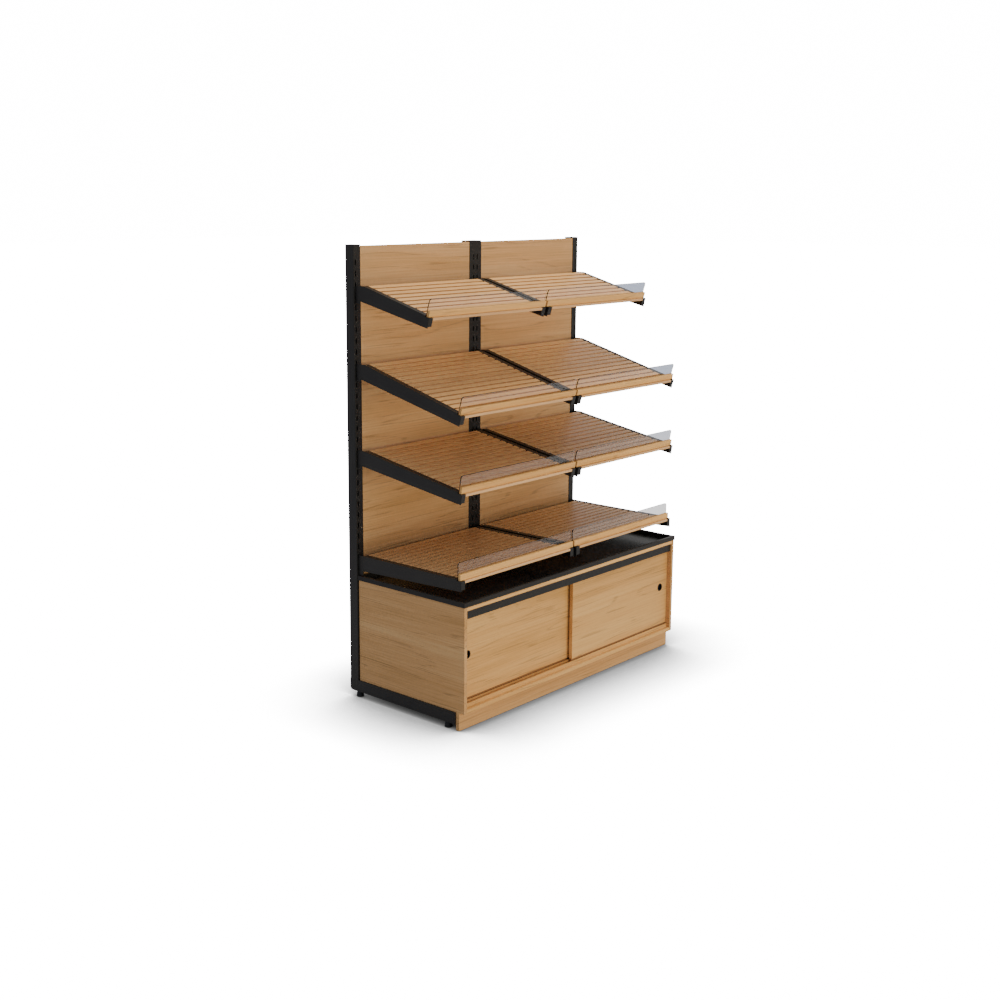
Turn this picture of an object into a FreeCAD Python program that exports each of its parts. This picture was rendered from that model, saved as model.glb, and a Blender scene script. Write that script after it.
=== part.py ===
import FreeCAD, Part
import math
import os

# Two-bay free-standing display shelf.
# X runs across the front, the front faces -Y, Z is up, and the floor is at Z = 0.
# The origin is on the floor, in the middle of the overall box.
V = FreeCAD.Vector

# General
cut_overrun = 5.0
steel_sheet = 2.0
bracket_plate = 3.0
board = 18.0

# Uprights: square tubes, slotted in front
upright_pitch = 800.0
end_upright_width = 44.0
middle_upright_width = 88.0
upright_depth = 54.0
upright_top_z = 2109.0
slot_width = 7.0
slot_height = 24.0
slot_pitch = 50.0
slot_edge_distance = 12.5
first_slot_rise = 58.5
top_slot_drop = 78.5
upright_corner_radius = 3.0

# Base legs and levelling feet
leg_bottom_z = 31.0
leg_height = 55.0
leg_corner_radius = 14.0
foot_base_radius = 18.0
foot_top_radius = 14.0
foot_edge_round = 5.0
foot_stud_radius = 5.0
foot_stud_length = 38.0
foot_stud_clearance = 0.4
foot_back_inset = 44.0
foot_front_inset = 58.0

# Back panels and the tie rails behind them
panel_top_drop = 6.0
panel_recess = 1.5
rail_height = 40.0
rail_depth = 25.0
rail_end_inset = 30.0

# Cabinet
cabinet_overhang = 7.0
cabinet_depth = 653.7
cabinet_back_gap = 5.0
cabinet_height = 486.0
plinth_setback = 30.0
plinth_floor_gap = 3.0

# Bottom track strip and top track of the doors
strip_height = 18.0
strip_setback = 18.7
strip_lip = 4.0
groove_width = 22.0
groove_divider = 8.0
groove_depth = 10.0
top_track_height = 40.0
top_track_setback = 8.7
top_track_depth = 80.0
top_channel_depth = 32.0

# Sliding doors
door_overlap = 18.0
door_side_clearance = 1.5
door_head_clearance = 8.0
runner_height = 19.0
runner_width = 12.0
pull_radius = 17.5
pull_flange = 2.0
pull_flange_height = 1.0
pull_depth = 12.0
pull_wall = 1.5
pull_clearance = 0.3
pull_edge_distance = 62.0
pull_rise = 199.0

# Tray on the cabinet
tray_overhang = 3.5
tray_height = 21.0
tray_rim = 13.0
tray_back_gap = 1.0

# Shelves, measured along (s) and square to (h) the tilted deck from the bracket's foot on the upright
shelf_rows = ("row_1", "row_2", "row_3", "row_4")
shelf_tilts = (16.0, 16.0, 10.5, 0.0)
shelf_slot_shares = (0.893, 0.643, 0.357, 0.0)
shelf_depths = (448.0, 640.0, 637.0, 635.0)
shelf_slat_counts = (9, 14, 14, 14)
bracket_slot_drop = 13.0
bracket_head_gap = 1.0
bracket_top_h = 72.0
bracket_front_foot_h = 21.0
bracket_bend_radius = 2.5
bracket_back_s = 34.0
bracket_tab_length = 28.0
bracket_tab_drop = 19.0
flange_width = 28.0
ledge_width = 20.0
slat_width = 30.0
slat_thickness = 16.0
slat_end_clearance = 0.5
front_plate_width = 26.0
front_plate_height = 39.0
front_top_h = 66.0
front_joint_clearance = 0.5
front_board_thickness = 11.0
lip_height = 28.5
lip_thickness = 12.0
lip_setback = 9.0
lip_end_inset = 6.0
lip_gap = 13.0
lip_edge_radius = 2.5
guard_thickness = 5.0
guard_height = 79.0
guard_corner_radius = 12.0
guard_deck_gap = 1.0
deck_front_gap = 6.5

# Hooks of the brackets
hook_wall_clearance = 0.4
hook_thickness = 6.0
hook_drop = 12.0
hook_slant_deg = 13.0
hook_tab_reach = 6.0
hook_tab_inset = 3.0

# Places worked out from the sizes above
cabinet_half = upright_pitch + end_upright_width / 2 - cabinet_overhang
total_depth = upright_depth + cabinet_back_gap + cabinet_depth + tray_overhang
back_y = total_depth / 2
upright_front_y = back_y - upright_depth
leg_top_z = leg_bottom_z + leg_height
cabinet_front_y = upright_front_y - cabinet_back_gap - cabinet_depth
cabinet_back_y = upright_front_y - cabinet_back_gap
cabinet_top_z = leg_top_z + cabinet_height
inner_half = cabinet_half - board
plinth_back_y = cabinet_front_y + plinth_setback + board
panel_front_y = upright_front_y + panel_recess
first_slot_z = cabinet_top_z + first_slot_rise
slot_span = upright_top_z - top_slot_drop - first_slot_z
slot_count = math.floor(round(slot_span / slot_pitch, 6)) + 1

solids = {}


def box(x0, x1, y0, y1, z0, z1):
    """Return the box between two opposite corners."""
    return Part.makeBox(x1 - x0, y1 - y0, z1 - z0, V(x0, y0, z0))


def prism_x(points, x0, x1):
    """Return an outline of (y, z) points, swept along X."""
    ring = [V(x0, y, z) for y, z in points]
    return Part.Face(Part.makePolygon(ring + ring[:1])).extrude(V(x1 - x0, 0, 0))


def mirrored(shape):
    """Return the mirror image on the other side of the middle."""
    return shape.mirror(V(0, 0, 0), V(1, 0, 0))


def add(name, *shapes):
    """Keep one piece, or a group of like pieces, under its name."""
    solids[name] = shapes[0] if len(shapes) == 1 else Part.makeCompound(list(shapes))


def slot_z(index):
    """Return the height of a slot's middle, counted up from the lowest."""
    return first_slot_z + index * slot_pitch


# Uprights
def make_upright(width, columns):
    """Return a tube on the middle line with columns of slots in its front wall."""
    tube = box(-width / 2, width / 2, upright_front_y, back_y, leg_top_z, upright_top_z)
    corners = [edge for edge in tube.Edges if edge.BoundBox.ZLength > upright_depth]
    tube = tube.makeFillet(upright_corner_radius, corners)
    hollow = box(-width / 2 + steel_sheet, width / 2 - steel_sheet,
                 upright_front_y + steel_sheet, back_y - steel_sheet,
                 leg_top_z - cut_overrun, upright_top_z - steel_sheet)
    slots = []
    for x in columns:
        for index in range(slot_count):
            z = slot_z(index)
            slots.append(box(x - slot_width / 2, x + slot_width / 2,
                             upright_front_y - cut_overrun, upright_front_y + steel_sheet + cut_overrun,
                             z - slot_height / 2, z + slot_height / 2))
    return tube.cut(hollow).cut(Part.makeCompound(slots))


end_column = slot_edge_distance - end_upright_width / 2
end_upright = make_upright(end_upright_width, [end_column])
end_upright.translate(V(-upright_pitch, 0, 0))
add("upright_left", end_upright)
add("upright_right", mirrored(end_upright))
add("upright_middle", make_upright(middle_upright_width, [-slot_edge_distance, slot_edge_distance]))


# Base legs, with a hole for each foot's stud
foot_places = {"back": back_y - foot_back_inset, "front": plinth_back_y + foot_front_inset}


def make_leg(width):
    """Return a closed tube with one rounded corner at the back."""
    leg = box(-width / 2, width / 2, plinth_back_y, back_y, leg_bottom_z, leg_top_z)
    corner = [edge for edge in leg.Edges
              if edge.BoundBox.YMin > back_y - cut_overrun and edge.BoundBox.ZMax < leg_bottom_z + cut_overrun]
    leg = leg.makeFillet(leg_corner_radius, corner)
    hollow = box(-width / 2 + steel_sheet, width / 2 - steel_sheet,
                 plinth_back_y + steel_sheet, back_y - leg_corner_radius,
                 leg_bottom_z + steel_sheet, leg_top_z - steel_sheet)
    leg = leg.cut(hollow)
    for y in foot_places.values():
        hole = Part.makeCylinder(foot_stud_radius + foot_stud_clearance, steel_sheet + cut_overrun * 2,
                                 V(0, y, leg_bottom_z - cut_overrun))
        leg = leg.cut(hole)
    return leg


def make_foot(y):
    """Return a tapered round foot with a plain stud, standing on the floor."""
    height = leg_bottom_z
    edge_z = foot_edge_round
    ring = [V(0, 0, 0), V(foot_base_radius - foot_edge_round, 0, 0)]
    slope = edge_z * math.cos(math.pi / 4)
    bend = Part.Arc(ring[-1], V(ring[-1].x + slope, 0, edge_z - slope), V(foot_base_radius, 0, edge_z))
    rest = [V(foot_base_radius, 0, edge_z), V(foot_top_radius, 0, height), V(foot_stud_radius, 0, height),
            V(foot_stud_radius, 0, height + foot_stud_length), V(0, 0, height + foot_stud_length), V(0, 0, 0)]
    edges = [Part.makeLine(ring[0], ring[1]), bend.toShape()]
    edges += [Part.makeLine(a, b) for a, b in zip(rest, rest[1:])]
    foot = Part.Face(Part.Wire(edges)).revolve(V(0, 0, 0), V(0, 0, 1), 360)
    foot.translate(V(0, y, 0))
    return foot


stations = {"left": (-upright_pitch, end_upright_width),
            "middle": (0, middle_upright_width),
            "right": (upright_pitch, end_upright_width)}
for side, (x, width) in stations.items():
    leg = make_leg(width)
    leg.translate(V(x, 0, 0))
    add("base_leg_" + side, leg)
    for end, y in foot_places.items():
        foot = make_foot(y)
        foot.translate(V(x, 0, 0))
        add("foot_" + side + "_" + end, foot)


# Back panels between the uprights, and tie rails behind them
panel_left_x = -upright_pitch + end_upright_width / 2
panel_right_x = -middle_upright_width / 2
panel_back_y = panel_front_y + board
panel_top_z = upright_top_z - panel_top_drop
panel = box(panel_left_x, panel_right_x, panel_front_y, panel_back_y, leg_top_z, panel_top_z)
add("back_panel_left", panel)
add("back_panel_right", mirrored(panel))
tie_rails = []
for z in (leg_top_z + rail_end_inset, panel_top_z - rail_end_inset - rail_height):
    rail = box(panel_left_x, panel_right_x, panel_back_y, panel_back_y + rail_depth, z, z + rail_height)
    hollow = box(panel_left_x - cut_overrun, panel_right_x + cut_overrun,
                 panel_back_y + steel_sheet, panel_back_y + rail_depth - steel_sheet,
                 z + steel_sheet, z + rail_height - steel_sheet)
    rail = rail.cut(hollow)
    tie_rails += [rail, mirrored(rail)]
add("tie_rails", *tie_rails)

# Cabinet boards
side = box(-cabinet_half, -inner_half, cabinet_front_y, cabinet_back_y, leg_top_z, cabinet_top_z)
add("cabinet_side_left", side)
add("cabinet_side_right", mirrored(side))
add("cabinet_top", box(-inner_half, inner_half, cabinet_front_y, cabinet_back_y,
                       cabinet_top_z - board, cabinet_top_z))
add("plinth", box(-cabinet_half, cabinet_half, cabinet_front_y + plinth_setback, plinth_back_y,
                  plinth_floor_gap, leg_top_z))

# Bottom board with a strip that has a groove for each door
bottom_top_z = leg_top_z + board
strip_front_y = cabinet_front_y + strip_setback
strip_top_z = bottom_top_z + strip_height
front_groove_y = strip_front_y + strip_lip
rear_groove_y = front_groove_y + groove_width + groove_divider
strip = box(-inner_half, inner_half, strip_front_y, rear_groove_y + groove_width + strip_lip,
            bottom_top_z, strip_top_z)
for y in (front_groove_y, rear_groove_y):
    strip = strip.cut(box(-inner_half - cut_overrun, inner_half + cut_overrun, y, y + groove_width,
                          strip_top_z - groove_depth, strip_top_z + cut_overrun))
bottom_board = box(-inner_half, inner_half, cabinet_front_y, cabinet_back_y, leg_top_z, bottom_top_z)
add("cabinet_bottom", bottom_board, strip)

# Top track with two channels over the grooves
track_top_z = cabinet_top_z - board
track_bottom_z = track_top_z - top_track_height
track_front_y = cabinet_front_y + top_track_setback
channel_top_z = track_bottom_z + top_channel_depth
track = box(-inner_half, inner_half, track_front_y, track_front_y + top_track_depth, track_bottom_z, track_top_z)
for y in (front_groove_y, rear_groove_y):
    track = track.cut(box(-inner_half - cut_overrun, inner_half + cut_overrun, y, y + groove_width,
                          track_bottom_z - cut_overrun, channel_top_z))
add("door_top_track", track)

# Doors, each with a black runner below and a round finger pull near its outer edge
door_bottom_z = strip_top_z - groove_depth + runner_height
door_top_z = channel_top_z - door_head_clearance
door_width = inner_half - door_side_clearance + door_overlap / 2
pull_z = door_bottom_z + pull_rise
pull_bore_radius = pull_radius + pull_clearance


def make_door(groove_y):
    """Return the left-hand door, its runner and its finger pull in one groove."""
    left_x = -inner_half + door_side_clearance
    middle_y = groove_y + groove_width / 2
    front_y = middle_y - board / 2
    pull_x = left_x + pull_edge_distance
    door = box(left_x, left_x + door_width, front_y, front_y + board, door_bottom_z, door_top_z)
    bore = Part.makeCylinder(pull_bore_radius, pull_depth + cut_overrun,
                             V(pull_x, front_y - cut_overrun, pull_z), V(0, 1, 0))
    runner = box(left_x, left_x + door_width, middle_y - runner_width / 2, middle_y + runner_width / 2,
                 door_bottom_z - runner_height, door_bottom_z)
    cup = Part.makeCylinder(pull_radius, pull_depth, V(pull_x, front_y, pull_z), V(0, 1, 0))
    flange = Part.makeCylinder(pull_radius + pull_flange, pull_flange_height,
                               V(pull_x, front_y - pull_flange_height, pull_z), V(0, 1, 0))
    hollow = Part.makeCylinder(pull_radius - pull_wall, pull_depth - pull_wall + cut_overrun,
                               V(pull_x, front_y - cut_overrun, pull_z), V(0, 1, 0))
    return door.cut(bore), runner, cup.fuse(flange).cut(hollow).removeSplitter()


for side, groove_y in (("left", rear_groove_y), ("right", front_groove_y)):
    pieces = make_door(groove_y)
    if side == "right":
        pieces = [mirrored(piece) for piece in pieces]
    for name, piece in zip(("door_", "door_runner_", "finger_pull_"), pieces):
        add(name + side, piece)

# Tray: a folded sheet with a hollow hem all round
tray_half = cabinet_half + tray_overhang
tray_front_y = cabinet_front_y - tray_overhang
tray_back_y = upright_front_y - tray_back_gap
tray_top_z = cabinet_top_z + tray_height
tray = box(-tray_half, tray_half, tray_front_y, tray_back_y, cabinet_top_z, tray_top_z)
tray = tray.cut(box(-tray_half + tray_rim, tray_half - tray_rim, tray_front_y + tray_rim, tray_back_y - tray_rim,
                    cabinet_top_z + steel_sheet, tray_top_z + cut_overrun))
hem_out = box(-tray_half + steel_sheet, tray_half - steel_sheet, tray_front_y + steel_sheet,
              tray_back_y - steel_sheet, cabinet_top_z - cut_overrun, tray_top_z - steel_sheet)
inner_rim = tray_rim - steel_sheet
hem_in = box(-tray_half + inner_rim, tray_half - inner_rim, tray_front_y + inner_rim, tray_back_y - inner_rim,
             cabinet_top_z - cut_overrun * 2, tray_top_z)
add("tray", tray.cut(hem_out.cut(hem_in)))

# Shelves
web_x = upright_pitch + end_upright_width / 2 - slot_edge_distance + bracket_plate / 2
inner_web_x = slot_edge_distance - bracket_plate / 2
hook_slant = math.tan(math.radians(hook_slant_deg))


def make_web(tilt, foot_z, depth):
    """Return a bracket's side outline: head, hooks and tilted arm, as (y, z) points."""
    cos_t = math.cos(math.radians(tilt))
    sin_t = math.sin(math.radians(tilt))

    def arm(s, h):
        return upright_front_y - s * cos_t - h * sin_t, foot_z + h * cos_t - s * sin_t

    flange_back = arm(bracket_back_s, bracket_top_h)
    guard_back_s = depth - lip_setback - lip_thickness - guard_thickness - guard_deck_gap
    head_y = upright_front_y - bracket_head_gap
    head_top_z = flange_back[1]
    lower_slot = foot_z + bracket_slot_drop
    lower_z = lower_slot - slot_height / 2 + hook_tab_inset
    lower_top_z = lower_slot + slot_height / 2 - hook_tab_inset
    seat_z = lower_slot + slot_pitch - slot_height / 2
    claw_y = upright_front_y + steel_sheet + hook_wall_clearance
    return [flange_back, arm(guard_back_s, bracket_top_h), arm(guard_back_s, front_top_h),
            arm(depth, front_top_h), arm(depth, bracket_front_foot_h), arm(bracket_tab_length, 0),
            (upright_front_y - bracket_tab_length, foot_z - bracket_tab_drop),
            (head_y, foot_z - bracket_tab_drop), (head_y, lower_z),
            (upright_front_y + hook_tab_reach, lower_z), (upright_front_y + hook_tab_reach, lower_top_z),
            (head_y, lower_top_z), (head_y, seat_z), (claw_y, seat_z),
            (claw_y + hook_drop * hook_slant, seat_z - hook_drop),
            (claw_y + hook_thickness, seat_z - hook_drop), (claw_y + hook_thickness, head_top_z)]


def tilted(shape, tilt, foot_z):
    """Move a shape from the flat deck's (x, -s, h) place to its tilted place."""
    shape.rotate(V(0, 0, 0), V(1, 0, 0), tilt)
    shape.translate(V(0, upright_front_y, foot_z))
    return shape


def make_shelf(tilt, foot_z, depth, slat_count):
    """Return the left bay's shelf: its two brackets, its deck boards, its lip and its guard."""
    lip_back_s = depth - lip_setback - lip_thickness
    guard_back_s = lip_back_s - guard_thickness
    flange_end_s = guard_back_s - guard_deck_gap
    ledge_top_h = bracket_top_h - slat_thickness
    ledge_bottom_h = ledge_top_h - bracket_plate
    web_points = make_web(tilt, foot_z, depth)

    def folded(web_face_x, inward):
        """Return one bracket: web, flange, step, ledge and front plate."""
        def span(near, far):
            ends = sorted((web_face_x + inward * near, web_face_x + inward * far))
            return ends[0], ends[1]
        flats = []
        for near, far, h0, h1, s0, s1 in (
                (0, flange_width, bracket_top_h - bracket_plate, bracket_top_h, bracket_back_s, flange_end_s),
                (flange_width - bracket_plate, flange_width, ledge_bottom_h, bracket_top_h,
                 bracket_back_s, flange_end_s),
                (flange_width - bracket_plate, flange_width + ledge_width, ledge_bottom_h, ledge_top_h,
                 bracket_back_s, flange_end_s),
                (0, front_plate_width, front_top_h - front_plate_height, front_top_h,
                 depth - bracket_plate, depth)):
            x0, x1 = span(near, far)
            flats.append(tilted(box(x0, x1, -s1, -s0, h0, h1), tilt, foot_z))
        x0, x1 = span(0, bracket_plate)
        bracket = prism_x(web_points, x0, x1).fuse(flats).removeSplitter()
        # The front plate is folded from the web with a bend along their shared outer edge
        middle = tilted(Part.Vertex(web_face_x, -depth, front_top_h - front_plate_height / 2), tilt, foot_z)
        bend = [edge for edge in bracket.Edges if edge.distToShape(middle)[0] < steel_sheet / bracket_plate
                and edge.BoundBox.XLength < steel_sheet]
        return bracket.makeFillet(bracket_bend_radius, bend)

    brackets = [folded(-web_x, 1), folded(-inner_web_x, -1)]
    slat_x0 = -web_x + flange_width + slat_end_clearance
    slat_x1 = -inner_web_x - flange_width - slat_end_clearance
    deck_length = guard_back_s - deck_front_gap - bracket_back_s
    pitch = (deck_length - slat_width) / (slat_count - 1)
    boards = []
    for index in range(slat_count):
        s0 = bracket_back_s + index * pitch
        boards.append(box(slat_x0, slat_x1, -s0 - slat_width, -s0, ledge_top_h, bracket_top_h))
    boards.append(box(-web_x + front_plate_width + front_joint_clearance,
                      -inner_web_x - front_plate_width - front_joint_clearance,
                      -depth, -depth + board, front_top_h - front_board_thickness, front_top_h))
    boards = [tilted(item, tilt, foot_z) for item in boards]
    lip_x0 = -web_x + lip_end_inset
    lip_x1 = -lip_gap / 2
    lip = box(lip_x0, lip_x1, -depth + lip_setback, -lip_back_s, front_top_h, front_top_h + lip_height)
    front_edges = [edge for edge in lip.Edges
                   if edge.BoundBox.XLength > upright_depth and edge.BoundBox.YMax < -lip_back_s - lip_thickness / 2]
    lip = lip.makeFillet(lip_edge_radius, front_edges)
    top_h = front_top_h + guard_height
    guard = box(lip_x0, lip_x1, -lip_back_s, -guard_back_s, front_top_h, top_h)
    corners = [edge for edge in guard.Edges
               if edge.BoundBox.ZMin > top_h - cut_overrun and edge.BoundBox.XLength < cut_overrun]
    guard = guard.makeFillet(guard_corner_radius, corners)
    return brackets, boards, tilted(lip, tilt, foot_z), tilted(guard, tilt, foot_z)


for row, tilt, share, depth, count in zip(shelf_rows, shelf_tilts, shelf_slot_shares, shelf_depths,
                                          shelf_slat_counts):
    foot_z = slot_z(round(share * (slot_count - 1))) - bracket_slot_drop
    brackets, boards, lip, guard = make_shelf(tilt, foot_z, depth, count)
    for side in ("left", "right"):
        def placed(shape):
            return mirrored(shape) if side == "right" else shape
        add(f"brackets_{row}_{side}", *[placed(item) for item in brackets])
        add(f"deck_{row}_{side}", *[placed(item) for item in boards])
        add(f"lip_{row}_{side}", placed(lip))
        add(f"guard_{row}_{side}", placed(guard))

# One file per piece
os.makedirs("parts", exist_ok=True)
for name, shape in solids.items():
    shape.exportStep(f"parts/{name}.step")
    print(name, len(shape.Solids), shape.isValid())
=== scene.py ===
import bpy
import math
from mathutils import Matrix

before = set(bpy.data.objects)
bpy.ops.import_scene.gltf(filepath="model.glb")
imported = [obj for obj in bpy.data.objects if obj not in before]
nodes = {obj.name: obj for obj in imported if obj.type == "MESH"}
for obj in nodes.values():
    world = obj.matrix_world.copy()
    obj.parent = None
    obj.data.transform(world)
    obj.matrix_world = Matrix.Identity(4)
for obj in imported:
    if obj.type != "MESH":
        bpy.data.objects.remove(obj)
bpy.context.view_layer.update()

# One millimetre in the scene's metres
MM = 0.001

# Length along the grain and width across it in mm, and noise detail, of each layer of the oak.
# The pores are drawn coarser than the real 8 by 0.3 mm, so that they show
OAK_LAYERS = {"bands": (1100, 85, 1.5), "streaks": (380, 6, 3.0), "pores": (26, 1.6, 1.0)}
# Shares of the bands and the streaks in the oak's tone
BAND_SHARE = 0.55
STREAK_SHARE = 0.45
# Phase of the cathedral lines' wave over a band's full rise, in radians
LINE_PHASE = 42.0
# Longest way, in metres, from one board's place on the oak sheet to another's
SHEET_JUMP = (3.7, 2.9, 4.3)

# Glow of the overexposed floor and room to the camera, and of the floor's deepest painted shade
WHITE_GLOW = 16.0
PAINTED_SHADE_GLOW = 0.6
# How fast the floor's painted shadow deepens, and how far it reaches in metres
PAINTED_SHADOW_POWER = 7.0
PAINTED_SHADOW_REACH = 0.5
# The paper's own tone, and the room's glow on the shelf
PAPER_TONE = 0.6
ROOM_GLOW = 0.6
# What the room's fill light adds on matt surfaces
FILL_GLOW = 0.2
# Half the floor's width in metres
FLOOR_HALF = 60.0

# Colour of the studio lights, and the point at which they look
LIGHT_COLOUR = (1.0, 0.95, 0.80)
LIGHT_AIM = (0, 0, 1)

# Camera: downward and rightward turn in degrees, sensor in mm, focal length and picture width in pixels
CAMERA_DOWN = 10.52
CAMERA_RIGHT = 47.53
SENSOR_WIDTH = 36
FOCAL_PIXELS = 1367.6
PICTURE_WIDTH = 1000


def linear(hex_colour):
    """Turn an sRGB hex colour into linear RGBA."""
    parts = [int(hex_colour[i:i + 2], 16) / 255 for i in (1, 3, 5)]
    return [c / 12.92 if c <= 0.04045 else ((c + 0.055) / 1.055) ** 2.4 for c in parts] + [1.0]


def fill(node, inputs):
    """Set a node's inputs to values, or link them from the outputs of other nodes."""
    for key, value in inputs.items():
        if isinstance(value, bpy.types.NodeSocket):
            node.id_data.links.new(value, node.inputs[key])
        else:
            node.inputs[key].default_value = value


def add(tree, kind, inputs, stops=(), **settings):
    """Add a node with its settings, its inputs and, for a colour ramp, its (place, hex colour) stops."""
    node = tree.nodes.new(kind)
    for name, value in settings.items():
        setattr(node, name, value)
    for index, (place, colour) in enumerate(stops):
        elements = node.color_ramp.elements
        element = elements[index] if index < len(elements) else elements.new(place)
        element.position = place
        element.color = linear(colour)
    fill(node, inputs)
    return node


def new_material(name):
    """Return a new material with its node tree, its surface shader and its place on the piece."""
    material = bpy.data.materials.new(name)
    material.use_nodes = True
    tree = material.node_tree
    place = add(tree, "ShaderNodeTexCoord", {}).outputs["Object"]
    return material, tree, tree.nodes["Principled BSDF"], place


# Oak-look melamine board: satin golden brown with soft bands, long streaks, faint cathedral lines and pores,
# and painted light on its faces that point to the front
def oak_board(name, grain, tones, figure=0.22, sheen=0.2, smooth=0.45, dull=0.6, painted_front_gain=1.0):
    """Return oak board with its grain along axis 0 or 1, and with its light, middle and dark tones.

    figure is the depth of its cathedral lines, sheen its reflection, smooth and dull its least and greatest
    roughness, and the last argument the painted light on its faces that point to the front, as a factor on
    their value.
    """
    material, tree, shader, place = new_material(name)
    chance = add(tree, "ShaderNodeObjectInfo", {}).outputs["Random"]
    # Each board is cut from another place of the sheet
    jump = add(tree, "ShaderNodeVectorMath", {0: SHEET_JUMP, "Scale": chance}, operation="SCALE").outputs[0]
    place = add(tree, "ShaderNodeVectorMath", {0: place, 1: jump}).outputs[0]
    layers = {}
    for layer, (length, width, detail) in OAK_LAYERS.items():
        stretch = [1 / (width * MM)] * 3
        stretch[grain] = 1 / (length * MM)
        spot = add(tree, "ShaderNodeMapping", {"Vector": place, "Scale": stretch}).outputs[0]
        layers[layer] = add(tree, "ShaderNodeTexNoise", {"Vector": spot, "Scale": 1.0,
                                                         "Detail": detail}).outputs["Fac"]
    mixed = add(tree, "ShaderNodeMath", {0: layers["streaks"], 1: STREAK_SHARE},
                operation="MULTIPLY").outputs[0]
    mixed = add(tree, "ShaderNodeMath", {0: layers["bands"], 1: BAND_SHARE, 2: mixed},
                operation="MULTIPLY_ADD").outputs[0]
    light, middle, dark = tones
    tone = add(tree, "ShaderNodeValToRGB", {"Fac": mixed},
               stops=((0.32, dark), (0.50, middle), (0.68, light))).outputs["Color"]
    # Cathedral lines follow the level lines of the bands and fade where the streaks are pale
    waves = add(tree, "ShaderNodeMath", {0: layers["bands"], 1: LINE_PHASE}, operation="MULTIPLY").outputs[0]
    waves = add(tree, "ShaderNodeMath", {0: waves}, operation="SINE").outputs[0]
    lines = add(tree, "ShaderNodeMapRange", {"Value": waves, "From Min": 0.80}).outputs[0]
    fade = add(tree, "ShaderNodeMapRange", {"Value": layers["streaks"], "From Min": 0.56, "From Max": 0.44,
                                            "To Max": figure}).outputs[0]
    lines = add(tree, "ShaderNodeMath", {0: lines, 1: fade}, operation="MULTIPLY").outputs[0]
    # Each board is a little lighter or darker, and its lines and pores are darker still
    shift = add(tree, "ShaderNodeMapRange", {"Value": chance, "To Min": 0.96, "To Max": 1.04}).outputs[0]
    pore = add(tree, "ShaderNodeMapRange", {"Value": layers["pores"], "From Min": 0.28, "From Max": 0.42,
                                            "To Min": 0.92}).outputs[0]
    value = add(tree, "ShaderNodeMath", {0: shift, 1: pore}, operation="MULTIPLY").outputs[0]
    value = add(tree, "ShaderNodeMath", {0: value, 1: lines}, operation="SUBTRACT").outputs[0]
    # Painted light: faces that point to the front get their value scaled by the last argument
    facing = add(tree, "ShaderNodeTexCoord", {}).outputs["Normal"]
    facing = add(tree, "ShaderNodeSeparateXYZ", {"Vector": facing}).outputs["Y"]
    painted_front_light = add(tree, "ShaderNodeMapRange", {"Value": facing, "From Min": -0.5, "From Max": -0.9,
                                            "To Min": 1.0, "To Max": painted_front_gain}).outputs[0]
    value = add(tree, "ShaderNodeMath", {0: value, 1: painted_front_light}, operation="MULTIPLY").outputs[0]
    tone = add(tree, "ShaderNodeHueSaturation", {"Color": tone, "Value": value}).outputs[0]
    rough = add(tree, "ShaderNodeMapRange", {"Value": layers["streaks"], "To Min": smooth,
                                             "To Max": dull}).outputs[0]
    bump = add(tree, "ShaderNodeBump", {"Height": layers["pores"], "Strength": 0.1,
                                        "Distance": 0.25 * MM}).outputs[0]
    fill(shader, {"Base Color": tone, "Roughness": rough, "Normal": bump, "Specular IOR Level": sheen})
    return material


# Powder-coated sheet steel: deep black with a fine orange-peel grit, whose warm pigment tints its sheen
def powder_coat(name, low, high, sheen=0.3, smooth=0.42, dull=0.56):
    """Return black powder coat between two tones, with its sheen and its least and greatest roughness."""
    material, tree, shader, place = new_material(name)
    # Grit of about 1.5 mm, drawn coarser than the real 0.3 mm so that it shows
    grit = add(tree, "ShaderNodeTexNoise", {"Vector": place, "Scale": 1 / (1.5 * MM),
                                            "Detail": 3.0}).outputs["Fac"]
    cloud = add(tree, "ShaderNodeTexNoise", {"Vector": place, "Scale": 1 / (120 * MM)}).outputs["Fac"]
    tone = add(tree, "ShaderNodeValToRGB", {"Fac": cloud}, stops=((0.3, low), (0.7, high))).outputs["Color"]
    rough = add(tree, "ShaderNodeMapRange", {"Value": cloud, "To Min": smooth, "To Max": dull}).outputs[0]
    bump = add(tree, "ShaderNodeBump", {"Height": grit, "Strength": 0.12, "Distance": 0.1 * MM}).outputs[0]
    fill(shader, {"Base Color": tone, "Roughness": rough, "Normal": bump, "Specular IOR Level": sheen,
                  "Specular Tint": linear("#ffeedd")})
    return material


# Clear acrylic sheet: polished faces with a faint warm tint, and slight haze in patches of 90 mm
def clear_acrylic(name, colour):
    """Return the guards' clear sheet."""
    material, tree, shader, place = new_material(name)
    haze = add(tree, "ShaderNodeTexNoise", {"Vector": place, "Scale": 1 / (90 * MM)}).outputs["Fac"]
    rough = add(tree, "ShaderNodeMapRange", {"Value": haze, "To Max": 0.04}).outputs[0]
    # Real acrylic has an index of about 1.49, but the photo's guards mirror less than that gives
    fill(shader, {"Base Color": linear(colour), "Roughness": rough, "Transmission Weight": 1.0, "IOR": 1.3})
    return material


# Moulded nylon: matt, with a fine spark-eroded texture
def moulded_nylon(name, colour):
    """Return matt moulded plastic."""
    material, tree, shader, place = new_material(name)
    # Texture of about 0.8 mm, drawn coarser than the real 0.1 mm so that it shows
    grain = add(tree, "ShaderNodeTexNoise", {"Vector": place, "Scale": 1 / (0.8 * MM)}).outputs["Fac"]
    rough = add(tree, "ShaderNodeMapRange", {"Value": grain, "To Min": 0.42, "To Max": 0.6}).outputs[0]
    bump = add(tree, "ShaderNodeBump", {"Height": grain, "Strength": 0.1, "Distance": 0.1 * MM}).outputs[0]
    fill(shader, {"Base Color": linear(colour), "Roughness": rough, "Normal": bump,
                  "Specular IOR Level": 0.3})
    return material


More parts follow.
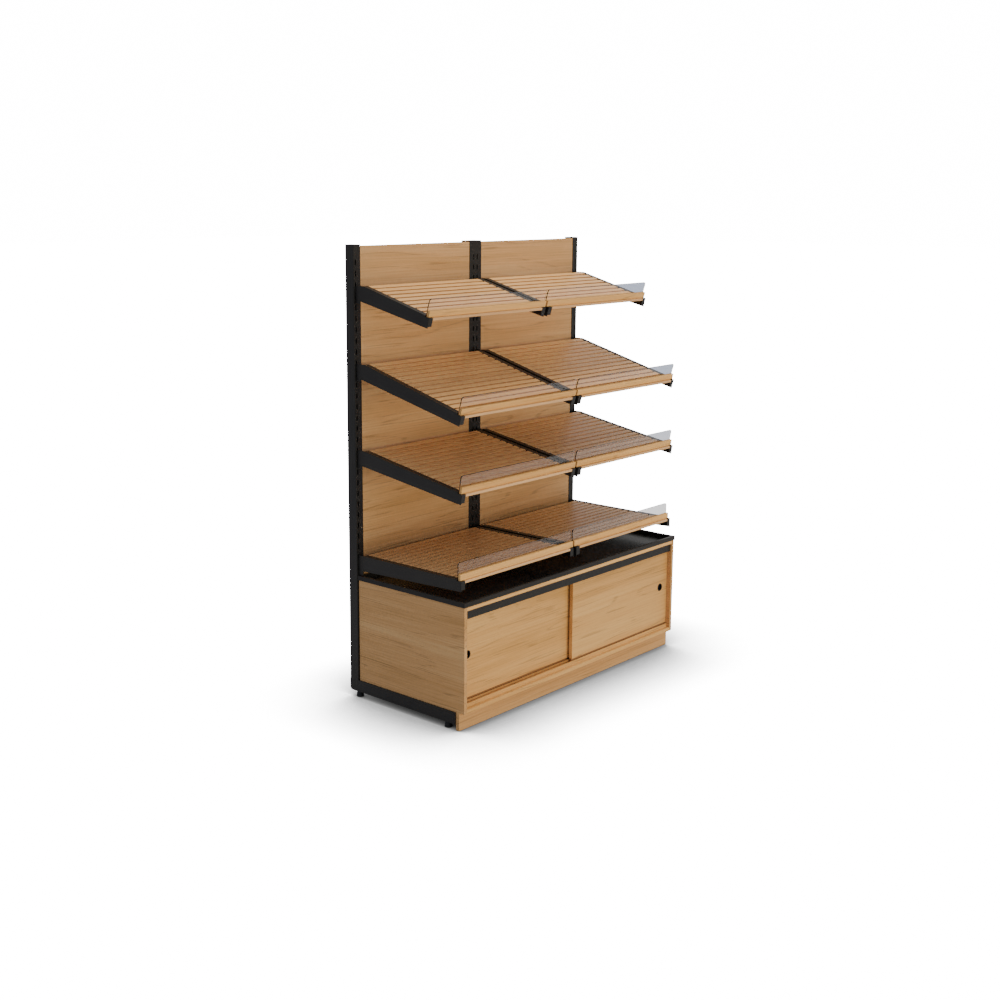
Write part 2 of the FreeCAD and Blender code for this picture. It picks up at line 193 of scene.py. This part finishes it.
shelf_oak = oak_board("oak_shelf_board", 0, ("#d1a46c", "#c5955e", "#b1844d"))
# A slat is a narrow strip, with less figure and more wear polish than a wide board, and its faces that point
# to the front are painted lighter, as painted light
slat_oak = oak_board("oak_slat_board", 0, ("#d2a268", "#cc9b62", "#c5935b"), figure=0.06, sheen=0.5,
                     smooth=0.33, dull=0.42, painted_front_gain=1.15)
# Lighter copies of the oak's tones, painted light for the doors, the lips and the cabinet's top and bottom,
# whose faces point to the front
painted_light_tones = ("#deaa63", "#d29b56", "#be8946")
painted_light_door_oak = oak_board("painted_light_oak_door_board", 0, painted_light_tones)
# A lip's faces that point to the front are painted lighter still, as painted light
painted_light_lip_oak = oak_board("painted_light_oak_lip_board", 0, painted_light_tones, painted_front_gain=1.15)
cabinet_tones = ("#d2a164", "#c69257", "#b28147")
plinth_oak = oak_board("oak_plinth_board", 0, cabinet_tones)
side_oak = oak_board("oak_side_board", 1, cabinet_tones)
steel = powder_coat("black_powder_coated_steel", "#201e1b", "#262420")
# The tray's coat is smoother, so that it mirrors the shelf above it, and its tones are painted lighter than
# the frame steel's, as painted light on its rim
tray_steel = powder_coat("satin_black_powder_coated_steel", "#292521", "#302c27", sheen=0.12,
                         smooth=0.2, dull=0.28)
guard = clear_acrylic("clear_acrylic_sheet", "#fbf4ea")
black_nylon = moulded_nylon("black_moulded_nylon", "#101010")
brown_nylon = moulded_nylon("brown_moulded_nylon", "#93653a")

# The finish of each piece, by the start of its name
finishes = {
    "deck": slat_oak, "back_panel": shelf_oak, "lip": painted_light_lip_oak, "guard": guard, "brackets": steel,
    "door_left": painted_light_door_oak, "door_right": painted_light_door_oak, "door_runner": brown_nylon, "door_top_track": steel,
    "finger_pull": black_nylon, "cabinet_top": painted_light_lip_oak, "cabinet_bottom": painted_light_door_oak, "cabinet_side": side_oak,
    "plinth": plinth_oak, "tray": tray_steel, "upright": steel, "base_leg": steel, "tie_rails": steel,
    "foot": black_nylon,
}
for name, piece in nodes.items():
    finish = next(value for key, value in finishes.items() if name.startswith(key))
    piece.data.materials.clear()
    piece.data.materials.append(finish)


def seen_through_guard(tree, rays):
    """Return 1 for a ray that comes through a guard and hasn't met a matt surface, or else 0."""
    clear = add(tree, "ShaderNodeMath", {0: rays["Diffuse Depth"], 1: 0.5}, operation="LESS_THAN").outputs[0]
    return add(tree, "ShaderNodeMath", {0: rays["Is Transmission Ray"], 1: clear},
               operation="MULTIPLY").outputs[0]


# White studio paper: a wide floor, overexposed to the camera as in the photo, with a painted soft shadow of
# the shelf
floor_mesh = bpy.data.meshes.new("studio_floor")
floor_corners = [(x * FLOOR_HALF, y * FLOOR_HALF, 0) for x, y in ((-1, -1), (1, -1), (1, 1), (-1, 1))]
floor_mesh.from_pydata(floor_corners, [], [(0, 1, 2, 3)])
floor = bpy.data.objects.new("studio_floor", floor_mesh)
bpy.context.collection.objects.link(floor)
paper, tree, shader, place = new_material("white_studio_paper")
rays = add(tree, "ShaderNodeLightPath", {}).outputs
# Painted shadow, drawn from ambient occlusion: deep under the shelf and fading out away from it
open_share = add(tree, "ShaderNodeAmbientOcclusion", {"Distance": PAINTED_SHADOW_REACH}, samples=16).outputs["AO"]
painted_shadow_glow = add(tree, "ShaderNodeMath", {0: open_share, 1: PAINTED_SHADOW_POWER}, operation="POWER").outputs[0]
painted_shadow_glow = add(tree, "ShaderNodeMath", {0: painted_shadow_glow, 1: WHITE_GLOW}, operation="MULTIPLY").outputs[0]
painted_shadow_glow = add(tree, "ShaderNodeMath", {0: open_share, 1: PAINTED_SHADE_GLOW, 2: painted_shadow_glow}, operation="MULTIPLY_ADD").outputs[0]
glow = add(tree, "ShaderNodeEmission", {"Strength": painted_shadow_glow}).outputs[0]
# Seen through a guard it is twice as bright as for its own light on the shelf
tone = add(tree, "ShaderNodeMath", {0: seen_through_guard(tree, rays), 1: PAPER_TONE, 2: PAPER_TONE},
           operation="MULTIPLY_ADD").outputs[0]
matt = add(tree, "ShaderNodeBsdfDiffuse", {"Color": tone}).outputs[0]
both = add(tree, "ShaderNodeMixShader", {0: rays["Is Camera Ray"], 1: matt, 2: glow}).outputs[0]
fill(tree.nodes["Material Output"], {"Surface": both})
floor_mesh.materials.append(paper)

# Even white room, overexposed in the same way, with a slightly cool fill light
world = bpy.data.worlds.new("white_room")
bpy.context.scene.world = world
world.use_nodes = True
tree = world.node_tree
rays = add(tree, "ShaderNodeLightPath", {}).outputs
glow = add(tree, "ShaderNodeMath", {0: rays["Is Camera Ray"], 1: WHITE_GLOW - ROOM_GLOW, 2: ROOM_GLOW},
           operation="MULTIPLY_ADD").outputs[0]
glow = add(tree, "ShaderNodeMath", {0: seen_through_guard(tree, rays), 1: ROOM_GLOW, 2: glow},
           operation="MULTIPLY_ADD").outputs[0]
glow = add(tree, "ShaderNodeMath", {0: rays["Is Diffuse Ray"], 1: FILL_GLOW, 2: glow},
           operation="MULTIPLY_ADD").outputs[0]
tone = add(tree, "ShaderNodeValToRGB", {"Fac": rays["Is Diffuse Ray"]},
           stops=((0.0, "#ffffff"), (1.0, "#cdddff"))).outputs["Color"]
fill(tree.nodes["Background"], {"Color": tone, "Strength": glow})


def soft_box(name, place, size, power):
    """Add a slightly warm rectangular studio light that looks at the middle of the shelf."""
    data = bpy.data.lights.new(name, "AREA")
    data.shape = "RECTANGLE"
    data.size, data.size_y = size
    data.energy = power
    data.color = LIGHT_COLOUR
    lamp = bpy.data.objects.new(name, data)
    bpy.context.collection.objects.link(lamp)
    lamp.location = place
    x, y, z = [b - a for a, b in zip(place, LIGHT_AIM)]
    lamp.rotation_euler = (math.atan2(math.hypot(x, y), -z), 0, math.atan2(-x, y))
    lamp.visible_transmission = False
    lamp.visible_glossy = False


soft_box("front_light", (0.0, -7.0, 0.9), (3.0, 2.0), 245)
soft_box("right_light", (6.5, -1.5, 2.5), (6.0, 6.0), 190)
soft_box("top_light", (0.3, -0.1, 6.0), (3.0, 3.0), 260)

# The camera is fitted to the shelf's edges in the photo
camera_data = bpy.data.cameras.new("photo_camera")
camera = bpy.data.objects.new("photo_camera", camera_data)
bpy.context.collection.objects.link(camera)
camera.location = (-5.0584, -4.1248, 2.3132)
camera.rotation_euler = (math.radians(90 - CAMERA_DOWN), 0, math.radians(-CAMERA_RIGHT))
camera_data.sensor_width = SENSOR_WIDTH
camera_data.lens = FOCAL_PIXELS / PICTURE_WIDTH * SENSOR_WIDTH
camera_data.shift_x = 0.055
camera_data.shift_y = -0.0484
camera_data.clip_end = 200
bpy.context.scene.camera = camera
